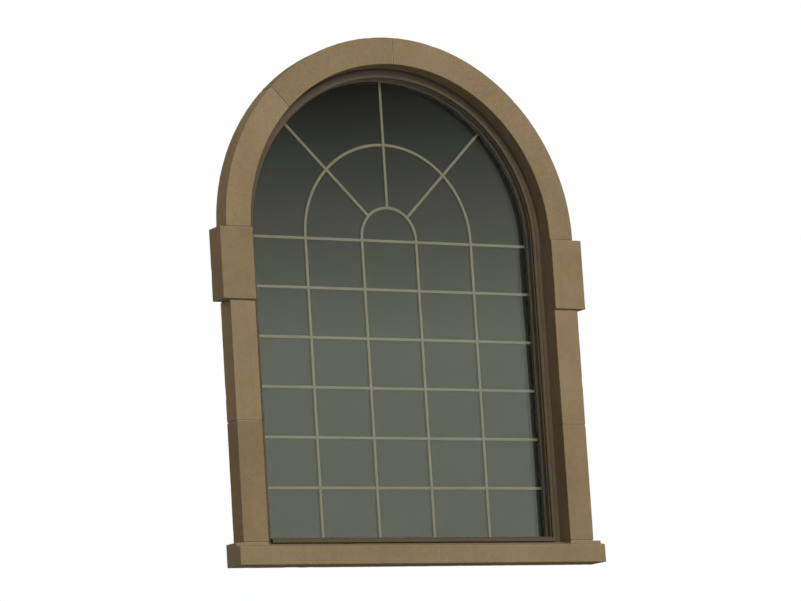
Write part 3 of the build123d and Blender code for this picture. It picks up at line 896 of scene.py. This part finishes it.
def screw_head():
    """A screw head about the origin, facing up."""
    bm = bmesh.new()
    bmesh.ops.create_circle(bm, cap_ends=True, segments=20, radius=HEAD_RADIUS)
    for rise, shrink in HEAD_STEPS:
        top = [face for face in bm.faces if face.normal.z > 0.5][-1:]
        lifted = pull(bm, top, (0, 0, HEAD_RISE * rise))
        bmesh.ops.scale(bm, vec=(shrink, shrink, 1), verts=lifted)
    for axis in (ACROSS, INWARD):
        for place in (-CROSS_REACH, -CROSS_HALF, CROSS_HALF, CROSS_REACH):
            slice_at(bm, axis * place, axis)
    cross = []
    for face in bm.faces:
        centre = face.calc_center_median()
        narrow, wide = sorted((abs(centre.x), abs(centre.y)))
        if centre.z > HEAD_RISE * 0.99 and narrow < CROSS_HALF and wide < CROSS_REACH:
            cross.append(face)
    sunk = pull(bm, cross, (0, 0, -CROSS_DEPTH))
    bmesh.ops.scale(bm, vec=(CROSS_TAPER, CROSS_TAPER, 1), verts=sunk)
    return bm


def screw_places():
    """Where each head sits and which way it faces."""
    for number in range(SIDE_SCREWS):
        share = (number + 0.5) / SIDE_SCREWS
        height = SIGHT_BOTTOM + share * (SPRINGING - SIGHT_BOTTOM)
        for side in (-1, 1):
            yield Vector((side * SIGHT, STOP_SCREW_DEPTH, height)), Vector((-side, 0, 0))
        yield Vector((SIGHT * (2 * share - 1), STOP_SCREW_DEPTH, SIGHT_BOTTOM)), UP
    for number in range(HEAD_SCREWS):
        outwards = turned((number + 0.5) / HEAD_SCREWS * math.pi)
        yield ARCH_CENTRE + outwards * SIGHT + INWARD * STOP_SCREW_DEPTH, -outwards


heads = []
for number, (place, facing) in enumerate(screw_places()):
    bm = screw_head()
    twist = Matrix.Rotation(number * SCREW_TWIST, 4, "Z")
    seat = Matrix.Translation(place) @ facing.to_track_quat("Z", "Y").to_matrix().to_4x4()
    bmesh.ops.transform(bm, matrix=seat @ twist, verts=bm.verts)
    heads.append(bm)
print("stop screws:", len(heads))
finish_piece(gathered(heads), "interior_stop_screws", "screw_steel")

# %% [markdown]
# Effects that several materials share are node groups, built once: a mottle of two noises, a
# grainy relief with pits, marks that follow a moulding's run, and dust on what faces up.

# %% Shared node groups
def new_group(name, inputs, outputs):
    """A group with inputs told by name and usual value, None for a place, and its outputs."""
    group = bpy.data.node_groups.new(name, "ShaderNodeTree")
    for word, value in inputs.items():
        kind = "NodeSocketVector" if value is None else "NodeSocketFloat"
        socket = group.interface.new_socket(name=word, in_out="INPUT", socket_type=kind)
        if value is not None:
            socket.default_value = value
    for word in outputs:
        group.interface.new_socket(name=word, in_out="OUTPUT", socket_type="NodeSocketFloat")
    return group, put(group, "NodeGroupInput").outputs, put(group, "NodeGroupOutput")


def noise_of(tree, place, scale, detail):
    return put(tree, "ShaderNodeTexNoise", Vector=place, Scale=scale, Detail=detail).outputs[0]


def cells_of(tree, place, scale):
    """Voronoi cells: each one's own three values, and how far each point is from its middle."""
    cell = put(tree, "ShaderNodeTexVoronoi", Vector=place, Scale=scale).outputs
    return put(tree, "ShaderNodeSeparateColor", Color=cell["Color"]).outputs, cell["Distance"]


group, given, result = new_group(
    "mottle", {"Vector": None, "Coarse": 3.0, "Fine": 40.0, "Share": 0.4}, ("Value",)
)
coarse = noise_of(group, given["Vector"], given["Coarse"], 4.0)
fine = noise_of(group, given["Vector"], given["Fine"], 5.0)
both = blend(group, given["Share"], coarse, fine)
feed(group, result, {"Value": spread(group, both, 0.3, 0.7)})

group, given, result = new_group(
    "grain", {"Vector": None, "Scale": 700.0, "Pit Scale": 160.0, "Pit Share": 0.3},
    ("Height", "Speckle", "Pits"),
)
place = given["Vector"]
sand = noise_of(group, place, given["Scale"], 3.0)
chips, _ = cells_of(group, place, given["Scale"])
(chance, size, _), middle_distance = cells_of(group, place, given["Pit Scale"])
crowd = spread(group, noise_of(group, place, 7.0, 2.0), 0.38, 0.64, 0.15, 1.7)
limit = reckon(group, "MULTIPLY", given["Pit Share"], crowd)
lone = reckon(group, "LESS_THAN", chance, limit)
pit_size = spread(group, size, 0.0, 1.0, 0.3, 1.15)
reach = reckon(group, "DIVIDE", middle_distance, pit_size)
pits = reckon(group, "MULTIPLY", spread(group, reach, 0.1, 0.32, 1.0, 0.0), lone)
relief = reckon(group, "SUBTRACT", sand, reckon(group, "MULTIPLY", pits, 1.5))
feed(group, result, {"Height": relief, "Speckle": chips[1], "Pits": pits})

group, given, result = new_group("run marks", {"Across": 900.0, "Along": 9.0}, ("Value",))
run_place = put(group, "ShaderNodeAttribute", {"attribute_name": "run"}).outputs["Vector"]
stretch = put(group, "ShaderNodeCombineXYZ", X=given["Across"], Y=given["Across"], Z=given["Along"])
drawn = put(group, "ShaderNodeVectorMath", {"operation": "MULTIPLY"})
feed(group, drawn, {0: run_place, 1: stretch.outputs[0]})
feed(group, result, {"Value": noise_of(group, drawn.outputs[0], 1.0, 3.0)})

group, given, result = new_group("dust", {"Vector": None, "Amount": 0.5}, ("Mask",))
facing = put(group, "ShaderNodeNewGeometry").outputs["Normal"]
up = put(group, "ShaderNodeSeparateXYZ", Vector=facing).outputs["Z"]
lying = spread(group, up, 0.3, 1.0)
patchy = noise_of(group, given["Vector"], 22.0, 5.0)
settled = reckon(group, "MULTIPLY", lying, spread(group, patchy, 0.25, 0.7))
feed(group, result, {"Mask": reckon(group, "MULTIPLY", settled, given["Amount"])})
print("groups:", [group.name for group in bpy.data.node_groups])

# %% [markdown]
# A finish starts the same way each time: a Principled shader, the piece's own coordinates, a
# colour, a roughness and a relief. This helper wires those up and leaves the pattern to each one.

# %% Finish helper
FINISHES = {}


def start_finish(slot):
    """A new material for a slot: gives its tree, its shader and Object coordinates."""
    material = bpy.data.materials.new(slot + "_finish")
    material.use_nodes = True
    FINISHES[slot] = material
    tree = material.node_tree
    where = put(tree, "ShaderNodeTexCoord").outputs["Object"]
    return tree, tree.nodes["Principled BSDF"], where


def stretched(tree, where, scale, detail):
    """Noise drawn out along the axes, for lines and streaks."""
    place = put(tree, "ShaderNodeMapping", Vector=where, Scale=scale).outputs[0]
    return noise_of(tree, place, 1.0, detail)


def weighed(tree, first, first_share, second, second_share):
    """Two values added by their shares."""
    part = reckon(tree, "MULTIPLY", first, first_share)
    return reckon(tree, "ADD", part, reckon(tree, "MULTIPLY", second, second_share))


def attribute(tree, name):
    return put(tree, "ShaderNodeAttribute", {"attribute_name": name}).outputs["Fac"]


def tint(tree, mask, colour, other):
    """Blend a colour towards another, told as three numbers, where a mask says."""
    return blend(tree, mask, colour, rgba(*other))


def use(tree, name, **feeds):
    """Add one of the shared groups and feed it."""
    return put(tree, "ShaderNodeGroup", {"node_tree": bpy.data.node_groups[name]}, **feeds).outputs


def clouds_of(tree, where, coarse, fine, share):
    return use(tree, "mottle", Vector=where, Coarse=coarse, Fine=fine, Share=share)["Value"]


def between(tree, share, dark, light):
    """Blend two colours that are each told as three numbers."""
    return blend(tree, share, rgba(*dark), rgba(*light))


def shade(tree, shader, colour, roughness, height, distance, strength=1.0):
    """Wire a colour, a roughness and a relief to the shader."""
    bump = put(tree, "ShaderNodeBump", Height=height, Distance=distance, Strength=strength)
    feed(tree, shader, {"Base Color": colour, "Roughness": roughness, "Normal": bump.outputs[0]})


def make_all(maker, table):
    """Make a finish for each slot of a table."""
    for slot, settings in table.items():
        maker(slot, *settings)
    print("finishes:", *table)


print("finish helper ready")

# %% [markdown]
# Cast stone is crushed limestone and cement, tamped into a mould: a warm buff with a fine grain
# of lighter and darker chips, small blown holes, soft clouds where it has taken up damp, and
# faint streaks where rain runs down. The blown holes are darkened as well, which is painted shade
# in them. Noise makes the clouds and streaks, Voronoi cells the chips.

# %% Cast stone
tree, shader, where = start_finish("cast_stone")
clouds = clouds_of(tree, where, 2.6, 24.0, 0.35)
clouds = reckon(tree, "ADD", clouds, attribute(tree, "tone"))
colour = between(tree, clouds, (0.270, 0.192, 0.099), (0.362, 0.262, 0.142))
streak = stretched(tree, where, (28.0, 28.0, 1.1), 4.0)
colour = tint(tree, spread(tree, streak, 0.52, 0.8, 0.0, 0.35), colour, (0.228, 0.168, 0.095))
grit = use(tree, "grain", Vector=where, Scale=620.0, Pit_Scale=95.0, Pit_Share=0.22)
PALE_CHIP, DARK_CHIP_AND_HOLE_SHADE = (0.55, 0.46, 0.32), (0.17, 0.13, 0.08)
colour = tint(tree, spread(tree, grit["Speckle"], 0.86, 0.95, 0.0, 0.4), colour, PALE_CHIP)
colour = tint(tree, spread(tree, grit["Speckle"], 0.0, 0.09, 0.45, 0.0), colour, DARK_CHIP_AND_HOLE_SHADE)
# Darkening the blown holes is painted shade: it stands in for the shade inside them.
colour = tint(tree, spread(tree, grit["Pits"], 0.2, 0.9, 0.0, 0.6), colour, DARK_CHIP_AND_HOLE_SHADE)
scuff = spread(tree, noise_of(tree, where, 55.0, 5.0), 0.45, 0.7)
scuffed = reckon(tree, "MULTIPLY", attribute(tree, "edge"), scuff)
colour = tint(tree, reckon(tree, "MULTIPLY", scuffed, 0.45), colour, (0.50, 0.41, 0.27))
dusty = use(tree, "dust", Vector=where, Amount=0.35)["Mask"]
colour = tint(tree, dusty, colour, (0.30, 0.26, 0.19))
shade(tree, shader, colour, spread(tree, clouds, 0.0, 1.0, 0.93, 0.82), grit["Height"], 0.0006, 0.8)
feed(tree, shader, {"Specular IOR Level": 0.35})
print("finish:", *FINISHES)

# %% Mortar, rubbers and screws
def plain_finish(slot, dark, light, roughness, coarse, fine, grain, relief, metallic=0.0):
    """A finish of two tones with a fine grain, for the small and hidden pieces."""
    tree, shader, where = start_finish(slot)
    clouds = clouds_of(tree, where, coarse, fine, 0.5)
    grit = use(tree, "grain", Vector=where, Scale=grain, Pit_Scale=grain * 0.3, Pit_Share=0.2)
    colour = between(tree, clouds, dark, light)
    colour = tint(tree, spread(tree, grit["Speckle"], 0.8, 1.0, 0.0, 0.3), colour, light)
    rough = spread(tree, clouds, 0.0, 1.0, roughness + 0.06, roughness - 0.06)
    shade(tree, shader, colour, rough, grit["Height"], relief)
    feed(tree, shader, {"Metallic": metallic})


PLAIN = {
    "mortar": ((0.30, 0.26, 0.19), (0.42, 0.37, 0.28), 0.92, 9.0, 90.0, 900.0, 0.0012),
    "foam_rod": ((0.30, 0.31, 0.32), (0.40, 0.41, 0.42), 0.85, 30.0, 300.0, 1400.0, 0.0004),
    "edge_seal": ((0.010, 0.010, 0.011), (0.025, 0.025, 0.026), 0.6, 40.0, 200.0, 500.0, 0.0004),
    "glazing_tape": ((0.020, 0.020, 0.021), (0.045, 0.045, 0.046), 0.8, 60.0, 400.0, 1800.0, 0.0003),
    "setting_block": ((0.018, 0.018, 0.018), (0.040, 0.039, 0.038), 0.65, 40.0, 300.0, 900.0, 0.0002),
    "pin_plastic": ((0.60, 0.60, 0.57), (0.72, 0.72, 0.69), 0.45, 60.0, 300.0, 900.0, 0.0001),
    "screw_steel": ((0.50, 0.49, 0.47), (0.66, 0.65, 0.62), 0.35, 200.0, 900.0, 3000.0, 0.00006, 1.0),
}
make_all(plain_finish, PLAIN)

# %% [markdown]
# Rolled and drawn metal has fine lines along its length. The fins, the spacer and the dowels in
# the stone joints get them from noise stretched one way by a Mapping node.

# %% Drawn metals
def drawn_metal(slot, dark, light, roughness, stretch):
    tree, shader, where = start_finish(slot)
    clouds = clouds_of(tree, where, 8.0, 70.0, 0.5)
    lines = stretched(tree, where, stretch, 4.0)
    share = weighed(tree, clouds, 0.6, lines, 0.4)
    colour = between(tree, share, dark, light)
    rough = spread(tree, lines, 0.3, 0.7, roughness - 0.07, roughness + 0.07)
    shade(tree, shader, colour, rough, lines, 0.00008)
    feed(tree, shader, {"Metallic": 1.0})


DRAWN = {
    "fin_metal": ((0.58, 0.58, 0.59), (0.74, 0.74, 0.75), 0.42, (900.0, 900.0, 8.0)),
    "spacer_metal": ((0.55, 0.55, 0.56), (0.70, 0.70, 0.71), 0.38, (12.0, 1200.0, 12.0)),
    "stainless_steel": ((0.52, 0.51, 0.50), (0.64, 0.63, 0.62), 0.3, (1200.0, 1200.0, 10.0)),
}
make_all(drawn_metal, DRAWN)

# %% [markdown]
# The timber is painted: a satin film with brush marks along each length, a little dirt that the
# weather leaves, and dust on ledges. Casing and frame are brown, the beads are the colour of the
# bars, and the room side is off-white.

# %% Painted timber
DUST = (0.30, 0.27, 0.22)


def painted(slot, dark, light, dirt, roughness, dirt_share):
    tree, shader, where = start_finish(slot)
    clouds = clouds_of(tree, where, 4.0, 60.0, 0.4)
    strokes = use(tree, "run marks", Across=650.0, Along=7.0)["Value"]
    film = use(tree, "run marks", Across=120.0, Along=2.5)["Value"]
    colour = between(tree, weighed(tree, clouds, 0.55, film, 0.45), dark, light)
    colour = tint(tree, spread(tree, strokes, 0.55, 0.75, 0.0, 0.16), colour, dirt)
    patch = noise_of(tree, where, 13.0, 7.0)
    colour = tint(tree, spread(tree, patch, 0.52, 0.75, 0.0, dirt_share), colour, dirt)
    dusty = use(tree, "dust", Vector=where, Amount=0.4)["Mask"]
    colour = tint(tree, dusty, colour, DUST)
    rough = spread(tree, strokes, 0.3, 0.7, roughness - 0.06, roughness + 0.08)
    shade(tree, shader, colour, reckon(tree, "ADD", rough, dusty), strokes, 0.00022, 0.7)


PAINTS = {
    "painted_casing": ((0.104, 0.074, 0.043), (0.130, 0.095, 0.057), (0.062, 0.043, 0.025), 0.42, 0.4),
    "painted_frame": ((0.114, 0.080, 0.045), (0.144, 0.104, 0.060), (0.070, 0.048, 0.027), 0.42, 0.4),
    "bead_paint": ((0.285, 0.255, 0.190), (0.325, 0.293, 0.220), (0.200, 0.172, 0.120), 0.42, 0.3),
    "interior_paint": ((0.66, 0.645, 0.59), (0.74, 0.725, 0.67), (0.50, 0.47, 0.40), 0.38, 0.12),
}
make_all(painted, PAINTS)

# %% [markdown]
# The bars are rolled aluminium with a baked coat: smooth, with only the faintest orange peel.

# %% Baked coat of the bars
tree, shader, where = start_finish("grille_paint")
clouds = clouds_of(tree, where, 5.0, 90.0, 0.3)
colour = between(tree, clouds, (0.285, 0.257, 0.196), (0.325, 0.295, 0.226))
peel = noise_of(tree, where, 420.0, 2.0)
film = noise_of(tree, where, 9.0, 6.0)
colour = tint(tree, spread(tree, film, 0.5, 0.8, 0.0, 0.25), colour, (0.22, 0.195, 0.145))
shade(tree, shader, colour, spread(tree, peel, 0.3, 0.7, 0.34, 0.44), peel, 0.00012, 0.6)
print("finishes so far:", len(FINISHES))

# %% Sealant and dowel wood
tree, shader, where = start_finish("sealant")
clouds = clouds_of(tree, where, 10.0, 120.0, 0.5)
smear = use(tree, "run marks", Across=260.0, Along=22.0)["Value"]
colour = between(tree, clouds, (0.105, 0.080, 0.054), (0.138, 0.107, 0.074))
specks = noise_of(tree, where, 260.0, 4.0)
colour = tint(tree, spread(tree, specks, 0.58, 0.72, 0.0, 0.45), colour, (0.06, 0.05, 0.04))
shade(tree, shader, colour, spread(tree, smear, 0.3, 0.7, 0.42, 0.6), smear, 0.0006, 0.7)

tree, shader, where = start_finish("dowel_wood")
fibre = stretched(tree, where, (700.0, 700.0, 18.0), 5.0)
clouds = clouds_of(tree, where, 20.0, 160.0, 0.5)
colour = between(tree, clouds, (0.46, 0.30, 0.16), (0.56, 0.39, 0.22))
colour = tint(tree, spread(tree, fibre, 0.5, 0.7, 0.0, 0.6), colour, (0.30, 0.18, 0.09))
shade(tree, shader, colour, 0.7, fibre, 0.0002)
print("finishes so far:", len(FINISHES))

# %% [markdown]
# The window reads dark because the room behind it is dark and the glass mirrors a soft sky. The
# outer pane is nearly clear. The inner pane carries a deep grey-green colour that is painted
# shade: it stands in for the unlit room, so the bars show pale against it. For lamp rays the glass
# steps aside, by Is Shadow Ray, or the bars would stand in shade.

# %% Glass
WAVE_HEIGHT = 0.0006
GLASS_IOR = 1.52


def glass(slot, cast, shadow_cast, wave_shift):
    tree, shader, where = start_finish(slot)
    place = put(tree, "ShaderNodeMapping", Vector=where, Location=(wave_shift, 0.0, 0.0))
    wave = noise_of(tree, place.outputs[0], 2.2, 1.0)
    bump = put(tree, "ShaderNodeBump", Height=wave, Distance=WAVE_HEIGHT, Strength=0.5)
    feed(tree, shader, {
        "Base Color": rgba(*cast), "Roughness": 0.0, "IOR": GLASS_IOR, "Transmission Weight": 1.0,
        "Normal": bump.outputs[0],
    })
    lamp_ray = put(tree, "ShaderNodeLightPath").outputs["Is Shadow Ray"]
    through = put(tree, "ShaderNodeBsdfTransparent", Color=rgba(*shadow_cast))
    choose(tree, lamp_ray, shader, through)


glass("outer_pane", (0.88, 0.90, 0.83), (0.92, 0.93, 0.90), 3.0)
# The inner pane's near-black colour is painted shade, standing in for the dark room behind it.
glass("inner_pane", (0.022, 0.026, 0.019), (0.05, 0.06, 0.05), 11.0)
print("finishes in all:", len(FINISHES))

# %% [markdown]
# Each piece now takes its finish. The solids that stay, such as the spacer, the tapes and the
# fins, get theirs in their own material slots, and their meshes aren't touched.

# %% Give out the finishes
KEPT_SOLIDS = {
    "mortar": ("mortar_joints",),
    "stainless_steel": ("stone_dowels",),
    "screw_steel": ("frame_corner_screws",),
    "dowel_wood": ("frame_head_dowels",),
    "spacer_metal": ("glass_spacer",),
    "edge_seal": ("glass_edge_seal",),
    "glazing_tape": ("glazing_tape",),
    "setting_block": ("setting_blocks",),
    "pin_plastic": ("grille_end_pins",),
    "fin_metal": [f"nailing_fin_{kind}" for kind in (*MEMBERS, "foot")],
    "outer_pane": ("outer_pane",),
    "inner_pane": ("inner_pane",),
}


def dress(thing, slot):
    if not thing.material_slots:
        thing.data.materials.append(FINISHES[slot])
    for held in thing.material_slots:
        held.material = FINISHES[slot]


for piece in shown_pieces():
    if "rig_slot" in piece:
        dress(piece, piece["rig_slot"])
for slot, nodes in KEPT_SOLIDS.items():
    for node in nodes:
        dress(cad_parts[node], slot)
